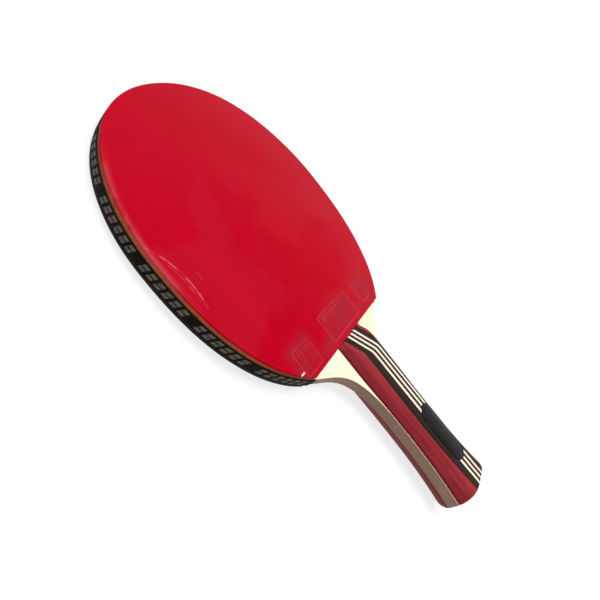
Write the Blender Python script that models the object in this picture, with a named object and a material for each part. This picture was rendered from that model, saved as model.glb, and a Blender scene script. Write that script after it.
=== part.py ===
"""Table tennis bat: a five-ply blade, two rubbers, an edge tape and two laminated grip scales.

Metres. Z points out of the red playing face and z = 0 is the middle of the blade's thickness.
Y runs along the bat, from the butt of the handle to the tip of the head. The sizes below are
measured from the butt (y = 0), and the finished pieces are moved so that the origin is the
middle of the whole bat.
"""
import math

import bmesh
import bpy
import numpy as np

MM = 0.001

# Blade outline
PLAYING_LENGTH = 155.8 * MM       # straight edge of the rubber to the tip
HEAD_WIDTH = 149.4 * MM
TIP_DEPTH = 79.1 * MM             # widest line to the tip
HEEL_RUN_ON = 11.0 * MM           # from the rubber's straight edge to where the lower curve would close
TIP_ROUNDNESS = 2.11              # exponents of the two superelliptic curves
HEEL_ROUNDNESS = 2.345
NECK_SHOULDER = 19.1 * MM         # how far the head's line runs on into the neck
NECK_REACH = 41.4 * MM            # how far the handle's line runs up into the neck
TANG_WAIST_WIDTH = 26.5 * MM
TANG_BUTT_WIDTH = 33.4 * MM
WAIST_FROM_BUTT = 49.2 * MM
FLARE_POWER = 2.45
BUTT_CORNER = 3.0 * MM            # how far up the butt's rounded corners reach
BUTT_SQUARENESS = 5.0

# Blade plies
FACE_PLY = 0.6 * MM
CROSS_PLY = 1.2 * MM
CORE_PLY = 2.8 * MM

# Rubbers and tape
SPONGE = 1.3 * MM
TOPSHEET = 0.9 * MM
FRONT_BEVEL = 0.9 * MM            # how far the rubber's cut edge slants in, sponge to surface
BACK_BEVEL = 0.45 * MM
BEVEL_FADE = 28.0 * MM            # the slant dies away over this distance, at the straight edge
TIP_OVERHANG = 0.3 * MM           # at the tip the front's cut edge slants out a little
TIP_BEVEL_FADE = 30.0 * MM        # the slant turns over this distance
TIP_BEVEL_END = 14.0 * MM         # and has turned at this distance from the tip
TAPE_WIDTH = 6.7 * MM
TAPE_THICKNESS = 0.3 * MM
TAPE_PAST_RUBBER = 2.0 * MM       # tape past the rubber's corner, along the edge
GLUE_GAP = 0.1 * MM

# Grip scales
GRIP_LENGTH = 101.2 * MM
RUBBER_CLEARANCE = 0.3 * MM       # scale's end to the rubber
SCALE_INSET = 0.3 * MM            # blade's edge past the scale
SCALE_TOP_WIDTH = 28.4 * MM       # from the shoulder to the rubber
SHOULDER_FROM_END = 15.6 * MM     # rubber's end of the scale to where it has its full width
SCALE_HEIGHT = 8.85 * MM          # at the waist
SCALE_CREST_HEIGHT = 8.3 * MM     # where the ramp begins
SCALE_BUTT_HEIGHT = 9.6 * MM
CROWN_FLATNESS = 3.5              # how long the crown's section stays level
BUTT_FLATNESS = 4.2               # and at the butt
CROWN_FALL = 1.15                 # how fast it falls at its sides
RAMP_LENGTH = 13.4 * MM
RAMP_END_HEIGHT = 1.95 * MM
FLANK_END_SLOPE = 0.42            # rise per run of the sanded flanks, at the rubber
FLANK_STEEPENS = 0.178 / MM       # and how much the rise grows with the distance from it
RIM_ROUND = 1.8 * MM              # rounding of the scale's rim at the butt
CREAM_STRIP = 1.6 * MM
THIN_STRIP = 1.95 * MM
WIDE_STRIP = 4.0 * MM

# Badge
BADGE_LENGTH = 34.5 * MM
BADGE_WIDTH = 12.0 * MM
BADGE_FROM_BUTT = 32.9 * MM       # butt to the badge's middle
BADGE_PROUD = 0.35 * MM
BADGE_POCKET = 1.7 * MM           # pocket's floor below the crown's middle line
BADGE_CLEARANCE = 0.2 * MM

# Smoothness
TIP_SPANS = 18                    # on each side of the tip
HEEL_SPANS = 12
NECK_SPANS = 14
FLARE_SPANS = 8
BUTT_SPANS = 8                    # on each side of the butt's middle
GRIP_ROWS = 11                    # butt to crest
RAMP_ROWS = 6
COLUMN = 1.3 * MM                 # widest step across a strip
OUTER_COLUMNS = 8                 # across the strip at the scale's edge
BADGE_SPANS = 10                  # on each rounded end

# Worked out from the sizes above
BLADE = 2 * FACE_PLY + 2 * CROSS_PLY + CORE_PLY
FACE_Z = BLADE / 2
RUBBER_EDGE_Y = GRIP_LENGTH + RUBBER_CLEARANCE
TIP_Y = RUBBER_EDGE_Y + PLAYING_LENGTH
WIDEST_Y = TIP_Y - TIP_DEPTH
MIDDLE_Y = (TIP_Y + GLUE_GAP + TAPE_THICKNESS) / 2
HEEL_DEPTH = WIDEST_Y - RUBBER_EDGE_Y + HEEL_RUN_ON
HALF_HEAD = HEAD_WIDTH / 2
CREST_Y = GRIP_LENGTH - RAMP_LENGTH
RAMP_SLOPE = (SCALE_CREST_HEIGHT - RAMP_END_HEIGHT) / RAMP_LENGTH

COLOURS = {
    "red rubber": ((0.56, 0.004, 0.024, 1), 0.22, 0),
    "black rubber": ((0.012, 0.012, 0.013, 1), 0.25, 0),
    "orange sponge": ((0.36, 0.12, 0.045, 1), 0.9, 0),
    "black sponge": ((0.02, 0.019, 0.018, 1), 0.9, 0),
    "tape": ((0.018, 0.014, 0.012, 1), 0.5, 0),
    "pale veneer": ((0.86, 0.77, 0.55, 1), 0.55, 0),
    "tan veneer": ((0.5, 0.36, 0.24, 1), 0.6, 0),
    "core wood": ((0.66, 0.51, 0.34, 1), 0.6, 0),
    "red veneer": ((0.27, 0.03, 0.035, 1), 0.4, 0),
    "dark veneer": ((0.045, 0.036, 0.03, 1), 0.45, 0),
    "cream veneer": ((0.84, 0.66, 0.48, 1), 0.45, 0),
    "badge": ((0.014, 0.013, 0.016, 1), 0.2, 0),
}


def material(name):
    found = bpy.data.materials.get(name)
    if found:
        return found
    colour, roughness, metallic = COLOURS[name]
    made = bpy.data.materials.new(name)
    made.use_nodes = True
    shader = made.node_tree.nodes["Principled BSDF"]
    shader.inputs["Base Color"].default_value = colour
    shader.inputs["Roughness"].default_value = roughness
    shader.inputs["Metallic"].default_value = metallic
    made.diffuse_color = colour
    return made


def add_piece(name, points, faces, finish, smooth_angle=30):
    """A named object from points measured from the butt, centred on the bat's middle."""
    mesh = bpy.data.meshes.new(name)
    mesh.from_pydata([(x, y - MIDDLE_Y, z) for x, y, z in points], [], faces)
    mesh.validate()
    shape = bmesh.new()
    shape.from_mesh(mesh)
    bmesh.ops.remove_doubles(shape, verts=shape.verts, dist=1e-6)
    bmesh.ops.recalc_face_normals(shape, faces=shape.faces)
    shape.to_mesh(mesh)
    shape.free()
    mesh.shade_smooth()
    mesh.set_sharp_from_angle(angle=math.radians(smooth_angle))
    piece = bpy.data.objects.new(name, mesh)
    bpy.context.scene.collection.objects.link(piece)
    if finish:
        piece.data.materials.append(material(finish))
    else:
        piece.display_type = "WIRE"
        piece.hide_render = True
    return piece


def cut(piece, cutter):
    step = piece.modifiers.new(cutter.name, "BOOLEAN")
    step.operation = "DIFFERENCE"
    step.solver = "EXACT"
    step.object = cutter


# The blade's outline

def head_half_width(y):
    """Half the head's width at y: one superellipse above the widest line, another below it."""
    if y > WIDEST_Y:
        depth, roundness = TIP_DEPTH, TIP_ROUNDNESS
    else:
        depth, roundness = HEEL_DEPTH, HEEL_ROUNDNESS
    share = min(1.0, abs(y - WIDEST_Y) / depth)
    return HALF_HEAD * (1 - share ** roundness) ** (1 / roundness)


def tip_curve():
    """From the tip round to the widest point, on the +X side."""
    for angle in np.linspace(math.pi / 2, 0, TIP_SPANS + 1):
        x = HALF_HEAD * math.cos(angle) ** (2 / TIP_ROUNDNESS)
        y = WIDEST_Y + TIP_DEPTH * math.sin(angle) ** (2 / TIP_ROUNDNESS)
        yield x, y


def heel_curve():
    """From the widest point down to the rubber's straight edge, on the +X side."""
    last = math.asin(((WIDEST_Y - RUBBER_EDGE_Y) / HEEL_DEPTH) ** (HEEL_ROUNDNESS / 2))
    for angle in np.linspace(0, last, HEEL_SPANS + 1)[1:]:
        x = HALF_HEAD * math.cos(angle) ** (2 / HEEL_ROUNDNESS)
        y = WIDEST_Y - HEEL_DEPTH * math.sin(angle) ** (2 / HEEL_ROUNDNESS)
        yield x, y


def neck_curve():
    """A Bezier curve from the heel, along its tangent, into the waist, along the handle."""
    step = 0.1 * MM
    top = np.array([head_half_width(RUBBER_EDGE_Y), RUBBER_EDGE_Y])
    above = np.array([head_half_width(RUBBER_EDGE_Y + step), RUBBER_EDGE_Y + step])
    shoulder = top + (top - above) / np.linalg.norm(top - above) * NECK_SHOULDER
    waist = np.array([TANG_WAIST_WIDTH / 2, WAIST_FROM_BUTT])
    reach = waist + np.array([0, NECK_REACH])
    for t in np.linspace(0, 1, NECK_SPANS + 1)[1:]:
        weights = ((1 - t) ** 3, 3 * (1 - t) ** 2 * t, 3 * (1 - t) * t ** 2, t ** 3)
        x, y = sum(w * p for w, p in zip(weights, (top, shoulder, reach, waist)))
        yield x, y


def flare_share(y):
    """0 from the waist up, 1 where the butt's corners begin."""
    return min(1.0, max(0.0, (WAIST_FROM_BUTT - y) / (WAIST_FROM_BUTT - BUTT_CORNER))) ** FLARE_POWER


def flare(y, waist_width, butt_width):
    """Half the width at y, below the waist."""
    return (waist_width + (butt_width - waist_width) * flare_share(y)) / 2


def butt_line(x, width):
    """The butt's end: nearly straight in the middle, with superelliptic corners."""
    share = min(1.0, abs(x) / (width / 2)) ** BUTT_SQUARENESS
    return BUTT_CORNER * (1 - (1 - share) ** (1 / BUTT_SQUARENESS))


def flare_curve():
    for y in np.linspace(WAIST_FROM_BUTT, BUTT_CORNER, FLARE_SPANS + 1)[1:]:
        yield flare(y, TANG_WAIST_WIDTH, TANG_BUTT_WIDTH), y


def butt_curve():
    for angle in np.linspace(0, math.pi / 2, BUTT_SPANS + 1)[1:]:
        x = TANG_BUTT_WIDTH / 2 * math.cos(angle) ** (2 / BUTT_SQUARENESS)
        yield x, butt_line(x, TANG_BUTT_WIDTH)


def both_sides(half):
    """A closed outline from its +X half, given from the top middle to the bottom middle."""
    mirrored = [(-x, y) for x, y in reversed(half) if x > 1e-7]
    return half + mirrored


def playing_half():
    return list(tip_curve()) + list(heel_curve())


def blade_outline():
    return both_sides(playing_half() + list(neck_curve()) + list(flare_curve()) + list(butt_curve()))


def pushed_out(line, distance):
    """The open line of points moved outwards, square to itself."""
    points = np.array(line)
    along = np.gradient(points, axis=0)
    outwards = np.stack([-along[:, 1], along[:, 0]], axis=1)
    outwards /= np.linalg.norm(outwards, axis=1)[:, None]
    return points + outwards * distance


def slab(name, lower, upper, low, high, finish):
    """A flat layer from one outline at the height low to another, point for point, at high."""
    count = len(lower)
    points = [(x, y, low) for x, y in lower] + [(x, y, high) for x, y in upper]
    faces = [tuple(range(count)), tuple(range(count, 2 * count))]
    faces += [(i, (i + 1) % count, (i + 1) % count + count, i + count) for i in range(count)]
    return add_piece(name, points, faces, finish)


def build_blade():
    outline = blade_outline()
    plies = (("blade_back_face_ply", FACE_PLY, "pale veneer"),
             ("blade_back_cross_ply", CROSS_PLY, "tan veneer"),
             ("blade_core", CORE_PLY, "core wood"),
             ("blade_front_cross_ply", CROSS_PLY, "tan veneer"),
             ("blade_front_face_ply", FACE_PLY, "pale veneer"))
    low = -FACE_Z
    for name, thickness, finish in plies:
        slab(name, outline, outline, low, low + thickness, finish)
        low += thickness


# Rubbers and edge tape

def rubber_outline(bevel, overhang, share):
    """The head's curve drawn in by a share of the cut edge's slant, closed by the straight edge.

    The slant is full at the sides, none at the straight edge, and turns to the overhang at the tip.
    """
    half = np.array(playing_half())
    sides = np.clip((half[:, 1] - RUBBER_EDGE_Y) / BEVEL_FADE, 0, 1)
    tip = np.clip((half[:, 1] - TIP_Y + TIP_BEVEL_END + TIP_BEVEL_FADE) / TIP_BEVEL_FADE, 0, 1)
    inset = bevel * sides * (1 - tip) - overhang * tip
    side = pushed_out(half, -share * inset[:, None])
    side[0, 0] = 0
    return both_sides([tuple(p) for p in side])


def build_rubbers():
    """Each rubber is a sponge on the blade and a topsheet on the sponge, cut with one slant."""
    rubber = SPONGE + TOPSHEET
    faces = ((1, "front", FRONT_BEVEL, TIP_OVERHANG, "orange sponge", "red rubber"),
             (-1, "back", BACK_BEVEL, 0, "black sponge", "black rubber"))
    for side, face, bevel, overhang, sponge, topsheet in faces:
        levels = [(side * (FACE_Z + height), rubber_outline(bevel, overhang, height / rubber))
                  for height in (0, SPONGE, rubber)]
        for layer, pair, finish in (("_sponge", levels[:2], sponge), ("_topsheet", levels[1:], topsheet)):
            (low, lower), (high, upper) = sorted(pair)
            slab(face + layer, lower, upper, low, high, finish)


def build_tape():
    """One strip round the head, from just past one corner of the rubber to just past the other."""
    neck = np.array([playing_half()[-1]] + list(neck_curve()))
    run = np.concatenate([[0], np.cumsum(np.linalg.norm(np.diff(neck, axis=0), axis=1))])
    end = [np.interp(TAPE_PAST_RUBBER, run, neck[:, axis]) for axis in (0, 1)]
    half = np.array(playing_half() + [tuple(end)])
    line = np.concatenate([half[:0:-1] * (-1, 1), half])
    inner = pushed_out(line, GLUE_GAP)
    outer = pushed_out(line, GLUE_GAP + TAPE_THICKNESS)
    low, high = -TAPE_WIDTH / 2, TAPE_WIDTH / 2
    points = []
    for near, far in zip(inner, outer):
        points += [(*near, low), (*far, low), (*far, high), (*near, high)]
    faces = [(3, 2, 1, 0)]
    for k in range(0, 4 * (len(line) - 1), 4):
        faces += [(k + a, k + b, k + 4 + b, k + 4 + a) for a, b in ((0, 1), (1, 2), (2, 3), (3, 0))]
    last = 4 * (len(line) - 1)
    faces.append((last, last + 1, last + 2, last + 3))
    add_piece("edge_tape", points, faces, "tape")


# Grip scales, each laminated from strips that run the whole length of the handle

SCALE_WAIST_WIDTH = TANG_WAIST_WIDTH - 2 * SCALE_INSET
SCALE_BUTT_WIDTH = TANG_BUTT_WIDTH - 2 * SCALE_INSET


def scale_half_width(y):
    """Half the scale's width where it meets the blade: flared at the butt, wider at the shoulder."""
    if y < WAIST_FROM_BUTT:
        return flare(y, SCALE_WAIST_WIDTH, SCALE_BUTT_WIDTH)
    share = min(1.0, (y - WAIST_FROM_BUTT) / (GRIP_LENGTH - SHOULDER_FROM_END - WAIST_FROM_BUTT))
    eased = share * share * (3 - 2 * share)
    return (SCALE_WAIST_WIDTH + (SCALE_TOP_WIDTH - SCALE_WAIST_WIDTH) * eased) / 2


def crown_height(y):
    """Height of the crown's middle line above the blade."""
    if y < WAIST_FROM_BUTT:
        return SCALE_HEIGHT + (SCALE_BUTT_HEIGHT - SCALE_HEIGHT) * flare_share(y)
    share = min(1.0, (y - WAIST_FROM_BUTT) / (CREST_Y - WAIST_FROM_BUTT))
    return SCALE_HEIGHT + (SCALE_CREST_HEIGHT - SCALE_HEIGHT) * share


def rim_drop(from_end):
    """How far the rounded rim at the butt lies below the crown, at this distance from the end."""
    left = max(0.0, RIM_ROUND - from_end)
    return RIM_ROUND - math.sqrt(RIM_ROUND ** 2 - left ** 2)


def crown(x, y, drop=0.0):
    """Height above the blade of the scale's crowned form.

    The section is level in the middle and falls to the blade at its sides. Near the rubber each
    side is sanded to a flank that gets flatter towards the end.
    """
    half_width = scale_half_width(y)
    flatness = CROWN_FLATNESS + (BUTT_FLATNESS - CROWN_FLATNESS) * flare_share(y)
    section = (1 - min(1.0, abs(x) / half_width) ** flatness) ** CROWN_FALL
    flank = max(0.0, half_width - abs(x)) * (FLANK_END_SLOPE + FLANK_STEEPENS * max(0.0, GRIP_LENGTH - y))
    return min((crown_height(y) - drop) * section, flank)


def strip_plan():
    """Name, inner and outer X, and finish of each strip on the +X side; the middle one is whole."""
    edge = CREAM_STRIP / 2
    plan = [("cream_middle", -edge, edge, "cream veneer")]
    for name, width, finish in (("dark_thin", THIN_STRIP, "dark veneer"),
                                ("cream", CREAM_STRIP, "cream veneer"),
                                ("dark", WIDE_STRIP, "dark veneer")):
        plan.append((name, edge, edge + width, finish))
        edge += width
    plan.append(("red", edge, None, "red veneer"))
    return plan


def strip_solid(name, inner, outer, side, mirror, finish):
    """One strip of the crowned form, between two upright planes or out to the scale's edge.

    Its columns stand at fixed X, but those of the outermost strip spread with the flare. Its rows
    run from the butt's curved end, where the rim is rounded, to the square end at the rubber.
    """
    if outer is None:
        shares = np.sin(np.linspace(0, math.pi / 2, OUTER_COLUMNS + 1))
    else:
        shares = np.linspace(0, 1, math.ceil((outer - inner) / COLUMN) + 1)
    rims = [0, 0.3 * RIM_ROUND]
    rows = rims + list(np.linspace(RIM_ROUND, CREST_Y, GRIP_ROWS + 1))
    rows += list(np.linspace(CREST_Y, GRIP_LENGTH, RAMP_ROWS + 1)[1:])
    butt_edge = SCALE_BUTT_WIDTH / 2 if outer is None else outer
    points, faces = [], []
    for row in rows:
        for share in shares:
            end = butt_line(inner + (butt_edge - inner) * share, SCALE_BUTT_WIDTH)
            y = end + row * (GRIP_LENGTH - end) / GRIP_LENGTH
            edge = scale_half_width(y) if outer is None else outer
            x = inner + (edge - inner) * share
            height = crown(x, y, rim_drop(row))
            points += [(mirror * x, y, side * FACE_Z), (mirror * x, y, side * (FACE_Z + height))]
    wide = len(shares)
    low = lambda row, column: 2 * (row * wide + column)
    for row in range(len(rows) - 1):
        for column in range(wide - 1):
            ring = (low(row, column), low(row, column + 1), low(row + 1, column + 1), low(row + 1, column))
            faces += [ring, tuple(p + 1 for p in ring)]
        for column in (0, wide - 1):
            near, far = low(row, column), low(row + 1, column)
            faces.append((near, far, far + 1, near + 1))
    for row in (0, len(rows) - 1):
        for column in range(wide - 1):
            near, far = low(row, column), low(row, column + 1)
            faces.append((near, far, far + 1, near + 1))
    return add_piece(name, points, faces, finish)


def ramp_cutter(side):
    """A wedge over the scale's front end; its under side is the ramp."""
    reach = SCALE_TOP_WIDTH
    spare = RIM_ROUND
    back = CREST_Y - 2 * spare
    front = GRIP_LENGTH + spare
    slope = lambda y: FACE_Z + RAMP_END_HEIGHT + (GRIP_LENGTH - y) * RAMP_SLOPE
    top = slope(back) + spare
    points = [(x, y, side * z) for x in (-reach, reach)
              for y, z in ((back, slope(back)), (front, slope(front)), (front, top), (back, top))]
    faces = [(0, 1, 2, 3), (4, 5, 6, 7), (0, 1, 5, 4), (1, 2, 6, 5), (2, 3, 7, 6), (3, 0, 4, 7)]
    return add_piece("ramp_cutter_" + ("front" if side > 0 else "back"), points, faces, None)


# Badge on the front scale, in a pocket across the middle strips

def pill(length, width):
    """A stadium-shaped outline about the badge's middle."""
    straight = (length - width) / 2
    points = []
    for middle, start in ((straight, 0), (-straight, math.pi)):
        for angle in np.linspace(start, start + math.pi, BADGE_SPANS + 1):
            points.append((width / 2 * math.cos(angle), BADGE_FROM_BUTT + middle + width / 2 * math.sin(angle)))
    return points


POCKET_Z = FACE_Z + SCALE_HEIGHT - BADGE_POCKET


def build_badge():
    """Flat underneath; on top it follows the crown, a little proud, with a rounded rim."""
    outline = np.array(pill(BADGE_LENGTH, BADGE_WIDTH))
    middle = np.clip(outline[:, 1], BADGE_FROM_BUTT - (BADGE_LENGTH - BADGE_WIDTH) / 2,
                     BADGE_FROM_BUTT + (BADGE_LENGTH - BADGE_WIDTH) / 2)
    spine = np.stack([np.zeros(len(outline)), middle], axis=1)
    count = len(outline)
    points = [(x, y, POCKET_Z + GLUE_GAP) for x, y in outline]
    rings = ((1.0, 0.0), (0.97, 0.6), (0.88, 1.0), (0.55, 1.0), (0.2, 1.0))
    for share, proud in rings:
        for x, y in spine + (outline - spine) * share:
            points.append((x, y, FACE_Z + crown(x, y) + BADGE_PROUD * proud))
    faces = [tuple(range(count))]
    for ring in range(len(rings)):
        low = ring * count
        faces += [(low + i, low + (i + 1) % count, low + count + (i + 1) % count, low + count + i)
                  for i in range(count)]
    last = len(rings) * count
    half = count // 2
    faces += [(last + i, last + i + 1, last + count - 2 - i, last + count - 1 - i) for i in range(half - 1)]
    add_piece("grip_badge", points, faces, "badge")


def pocket_cutter():
    outline = pill(BADGE_LENGTH + 2 * BADGE_CLEARANCE, BADGE_WIDTH + 2 * BADGE_CLEARANCE)
    return slab("badge_pocket_cutter", outline, outline, POCKET_Z, POCKET_Z + 2 * BADGE_POCKET, None)


def build_scales():
    pocket = pocket_cutter()
    pocket_edge = BADGE_WIDTH / 2 + BADGE_CLEARANCE
    for side, face in ((1, "front"), (-1, "back")):
        ramp = ramp_cutter(side)
        for name, inner, outer, finish in strip_plan():
            hands = ((1, ""),) if inner < 0 else ((-1, "_left"), (1, "_right"))
            for mirror, hand in hands:
                label = "%s_grip_%s%s" % (face, name, hand)
                strip = strip_solid(label, inner, outer, side, mirror, finish)
                cut(strip, ramp)
                if side > 0 and inner < pocket_edge:
                    cut(strip, pocket)


def main():
    for old in list(bpy.data.objects):
        bpy.data.objects.remove(old, do_unlink=True)
    build_blade()
    build_rubbers()
    build_tape()
    build_scales()
    build_badge()


main()
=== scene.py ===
import math

import bmesh
import bpy
import numpy as np
from mathutils import Matrix, Vector


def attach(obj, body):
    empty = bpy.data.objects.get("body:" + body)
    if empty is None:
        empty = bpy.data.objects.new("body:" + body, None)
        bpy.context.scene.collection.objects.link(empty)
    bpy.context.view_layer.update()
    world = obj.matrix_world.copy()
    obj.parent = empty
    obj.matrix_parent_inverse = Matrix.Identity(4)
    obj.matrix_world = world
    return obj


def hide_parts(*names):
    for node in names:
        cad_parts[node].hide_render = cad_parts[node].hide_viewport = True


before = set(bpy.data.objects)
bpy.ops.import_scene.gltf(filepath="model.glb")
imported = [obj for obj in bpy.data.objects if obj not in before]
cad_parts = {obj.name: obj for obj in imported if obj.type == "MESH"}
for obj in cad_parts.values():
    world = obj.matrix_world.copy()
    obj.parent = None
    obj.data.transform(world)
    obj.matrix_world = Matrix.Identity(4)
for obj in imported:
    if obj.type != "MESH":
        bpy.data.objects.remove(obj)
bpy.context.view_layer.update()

MM = 0.001
# Points nearer to each other than this are one point, and a thinner wall is left out.
MERGED = 1e-7


def in_mm(*values):
    """Millimetres as metres."""
    return tuple(value * MM for value in values)


# Sizes of the bat, the same as the solids have. y is measured from the butt of the handle.

# Blade: the outline of head, neck and handle, and the outer level of each kind of ply
RUBBER_EDGE_Y, PLAYING_LENGTH = 101.5 * MM, 155.8 * MM
TIP_Y = RUBBER_EDGE_Y + PLAYING_LENGTH
HALF_HEAD = 74.7 * MM
TIP_DEPTH, TIP_ROUNDNESS = 79.1 * MM, 2.11
WIDEST_Y = TIP_Y - TIP_DEPTH
HEEL_DEPTH, HEEL_ROUNDNESS = 87.7 * MM, 2.345
NECK_SHOULDER, NECK_REACH = 19.1 * MM, 41.4 * MM
WAIST_Y = 49.2 * MM
TANG_WAIST, TANG_BUTT = 13.25 * MM, 16.7 * MM
FLARE_POWER = 2.45
BUTT_CORNER, BUTT_SQUARENESS = 3.0 * MM, 5.0
CORE_Z, CROSS_PLY_Z, FACE_Z = 1.4 * MM, 2.6 * MM, 3.2 * MM
PLY_ROUND_OVER = 0.35 * MM

# Rubbers and tape
SPONGE, TOPSHEET = 1.3 * MM, 0.9 * MM
RUBBER_Z = FACE_Z + SPONGE + TOPSHEET
FRONT_BEVEL, BACK_BEVEL, TIP_OVERHANG = 0.9 * MM, 0.45 * MM, 0.3 * MM
BEVEL_FADE = 28.0 * MM
TIP_BEVEL_FADE, TIP_BEVEL_END = 30.0 * MM, 14.0 * MM
SHEET_LIP = 0.28 * MM
TAPE_WIDTH, TAPE_THICKNESS, TAPE_GAP = 6.7 * MM, 0.3 * MM, 0.1 * MM
TAPE_THINNING, TAPE_FLATNESS = 0.45, 6
TAPE_PAST_RUBBER = 2.0 * MM
MIDDLE_Y = (TIP_Y + TAPE_GAP + TAPE_THICKNESS) / 2

# Grip scales
GRIP_LENGTH = 101.2 * MM
SCALE_WAIST, SCALE_BUTT, SCALE_TOP = 12.95 * MM, 16.4 * MM, 14.2 * MM
SHOULDER_Y = GRIP_LENGTH - 15.6 * MM
SCALE_HEIGHT, SCALE_CREST_HEIGHT, SCALE_BUTT_HEIGHT = 8.85 * MM, 8.3 * MM, 9.6 * MM
CROWN_FLATNESS, BUTT_FLATNESS, CROWN_FALL = 3.5, 4.2, 1.15
RAMP_LENGTH, RAMP_END_HEIGHT = 13.4 * MM, 1.95 * MM
CREST_Y = GRIP_LENGTH - RAMP_LENGTH
FLANK_END_SLOPE, FLANK_STEEPENS = 0.42, 0.178 / MM
FLANK_SHARPNESS, CREASE_SHARPNESS = 14, 28
RIM_ROUND, EASED_END = 1.8 * MM, 0.3 * MM
STRIP_EDGES = np.array([0.8, 2.75, 4.35, 8.35]) * MM

# Badge and its pocket. The profile is a share of the way out from the spine, and mm over the scale.
BADGE_LENGTH, BADGE_WIDTH = 34.5 * MM, 12.0 * MM
BADGE_Y = 32.9 * MM
BADGE_CLEARANCE, BADGE_SEAT = 0.2 * MM, 0.1 * MM
POCKET_Z = FACE_Z + SCALE_HEIGHT - 1.7 * MM
CUTTER_HEIGHT = 5.0 * MM
BADGE_PROFILE = ((1.0, 0.0), (0.992, 0.2), (0.975, 0.32), (0.95, 0.36), (0.925, 0.32), (0.91, 0.2),
                 (0.9, 0.1), (0.88, 0.08), (0.82, 0.16), (0.7, 0.27), (0.5, 0.34), (0.25, 0.37),
                 (0.02, 0.38))

# Raised frames and short bars on the red rubber beside the grip, x and y from the bat's middle.
# A frame is its middle and half its size, and a bar its middle and its length.
PRESSED_HEIGHT, PRESSED_FOOT, PRESSED_SUNK = 0.09 * MM, 0.02 * MM, 0.1 * MM
FRAME_CORNER, FRAME_HALF_FOOT, FRAME_HALF_CREST = 1.2 * MM, 0.3 * MM, 0.12 * MM
BAR_CORNER, BAR_HALF_WIDTH, BAR_DRAWN_IN = 0.2 * MM, 0.45 * MM, 0.16 * MM
PRESSED_FRAMES = ((in_mm(1.5, -16.8), in_mm(16.8, 7.4)),
                  (in_mm(-38.5, -18.2), in_mm(7.5, 6.6)),
                  (in_mm(33.5, -16.9), in_mm(5.2, 5.8)))
PRESSED_BARS = [in_mm(x, -11.8, 2.6) for x in np.linspace(-11.5, 9.5, 9)]
PRESSED_BARS += [in_mm(x, -14.6, 2.2) for x in np.linspace(-43.0, -34.0, 4)]
PRESSED_BARS += [in_mm(x, -14.0, 2.0) for x in (31.5, 33.7, 35.9)]

# Marks of play on the red rubber, and painted sheen: along its rim, towards its tip, and a glint. A box is
# its middle, half its size and how far its edge fades.
HANDLED_MIDDLE = (in_mm(2.0, -17.0), in_mm(17.0, 7.5), 2.0 * MM)
HANDLED_SIDES = ((in_mm(-40.0, -17.0), in_mm(10.0, 8.0), 4.0 * MM),
                 (in_mm(35.0, -17.0), in_mm(9.0, 8.0), 4.0 * MM),
                 (in_mm(-22.0, -23.0), in_mm(9.0, 2.5), 4.0 * MM),
                 (in_mm(22.0, -23.5), in_mm(8.0, 2.0), 4.0 * MM))
# Where a painted sheen lies along the head's near rim.
RIM_SHEEN_BOX = (in_mm(-60.0, 66.0), in_mm(26.0, 30.0), 16.0 * MM)
# A painted glint near the tape.
PAINTED_GLINT = (in_mm(-48.2, -21.5), in_mm(1.5, 0.35), 0.25 * MM)
SHEEN_STARTS_Y, SHEEN_FULL_Y = 30.0 * MM, 125.0 * MM
# A scuff line, paler as a painted highlight on its crease, is part of a circle: its middle, radius, the box
# that it shows in, width and strength.
SCUFF_HIGHLIGHTS = ((in_mm(-103.9, 35.8), 38.0 * MM, (in_mm(-68.0, 42.0), in_mm(8.0, 16.0), 3.0 * MM), 0.7 * MM, 1.0),
          (in_mm(-103.9, 35.8), 36.4 * MM, (in_mm(-69.0, 39.0), in_mm(6.0, 9.0), 3.0 * MM), 0.5 * MM, 0.5),
          (in_mm(-64.6, 37.6), 5.2 * MM, (in_mm(-59.5, 38.0), in_mm(2.0, 1.0), 3.0 * MM), 0.5 * MM, 1.0))
# Tones of painted sheen on the red rubber: the haze, the rim's sheen, the scuffs' highlight and the glint.
SHEEN_AND_HAZE_TONE, RIM_SHEEN_TONE = (190, 62, 80), (206, 104, 116)
SCUFF_HIGHLIGHT_TONE, GLINT_TONE = (218, 88, 102), (255, 232, 232)

# Weave and printed marks of the tape: u along it and v across it
RIB_PITCH, THREAD_PITCH = 0.55 * MM, 0.42 * MM
MARK_STEP, MARKS_IN_GROUP, MARK_SLANT = 4.5 * MM, 7, 0.45
MARKS_V, MARK_OUTER, MARK_INNER = 0.2 * MM, (2.2 * MM, 2.05 * MM), (0.22 * MM, 0.34 * MM)

# Wood: the grain's scale along its run, against 1 across it, and where the painted shade lies in the corner
# between a scale and the blade, above the blade's face: all of it, and the last of it
GRAIN_SCALE_ALONG = 0.025
CORNER_SHADE_FULL, CORNER_SHADE_GONE = 0.2 * MM, 1.7 * MM

# Studio, in metres. The camera's place is measured from the butt, and its turn is a rotation vector.
FLOOR_REACH, FLOOR_GAP, FLOOR_GREY = 3.0, 0.15 * MM, 0.45
SHADOW_GREY, SHADOW_GLOW = 0.26, 0.79
SHADOW_FADES, SHADOW_GONE = 0.2, 0.34
WHITE = 1.0
LAMPS = (("overhead softbox", (0.8, 1.0), 15.0, (-0.05, 0.05, 1.2)),
         ("side softbox", (0.9, 0.2), 0.8, (0.56, 0.0, 1.08)))
LAMP_TARGET = (0.0, 0.0, 0.0)
ROOM_LIGHT = 0.2
CAMERA_PLACE = np.array([-208.1, 148.2, 146.9]) * MM
CAMERA_TURN = np.array([2.4483, -0.9094, 1.2765])
CAMERA_SENSOR, CAMERA_LENS, CAMERA_SHIFT, CAMERA_NEAR = 36.0, 30.03, (-0.0029, 0.0033), 0.01

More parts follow.
